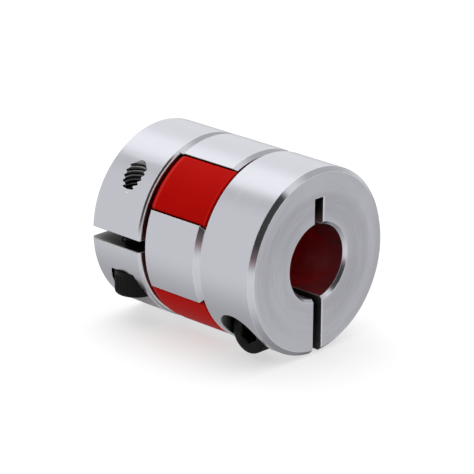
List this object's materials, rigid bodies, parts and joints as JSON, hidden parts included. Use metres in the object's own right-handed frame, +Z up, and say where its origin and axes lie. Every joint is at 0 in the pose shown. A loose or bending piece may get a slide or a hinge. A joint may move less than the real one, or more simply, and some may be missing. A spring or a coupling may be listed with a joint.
{
  "type": "jaw coupling",
  "caption": "Clamp-type jaw shaft coupling: two slit aluminium hubs with interlocking jaws, a red elastic spider between them and a socket head clamp screw in each hub.",
  "frame": {"origin": "centre of the coupling on the shaft axis, midway between the two hubs' outer end faces", "axes": "+X along the shaft axis, from the driven hub to the driver hub and out of the driver bore; +Z up, away from the driver hub's clamp slit; the driver hub's jaws are at +Y and -Y"},
  "size_m": [0.035, 0.03, 0.03],
  "materials": {
    "driver_hub_aluminium": "fine turned, satin, with light turning rings on the end face",
    "driven_hub_aluminium": "fine turned, satin, with light turning rings on the end face",
    "spider_polyurethane": "moulded polyurethane, slightly glossy",
    "clamp_screw_black_oxide": "black oxide, oiled satin"
  },
  "bodies": {
    "driver": {"driver_hub": "driver_hub_aluminium"},
    "spider": {"spider": "spider_polyurethane"},
    "driven": {"driven_hub": "driven_hub_aluminium"},
    "driver_screw": {"driver_clamp_screw": "clamp_screw_black_oxide"},
    "driven_screw": {"driven_clamp_screw": "clamp_screw_black_oxide"}
  },
  "joints": [
    {"name": "torsional_wind_up", "type": "hinge", "parent": "driver", "child": "spider", "pos_m": [0, 0, 0], "axis": [1, 0, 0], "range_deg": [-1, 1], "stiffness_Nm_per_rad": 60},
    {"name": "hub_pull_off", "type": "slide", "parent": "spider", "child": "driven", "axis": [-1, 0, 0], "range_m": [-0.0003, 0.014]},
    {"name": "driver_screw_turn", "type": "hinge", "parent": "driver", "child": "driver_screw", "pos_m": [0.0119, -0.00555, -0.0105], "axis": [0, -1, 0], "range_deg": [0, 450]},
    {"name": "driven_screw_turn", "type": "hinge", "parent": "driven", "child": "driven_screw", "pos_m": [-0.0113, -0.01095, -0.00555], "axis": [0, 0, -1], "range_deg": [0, 450]}
  ]
}
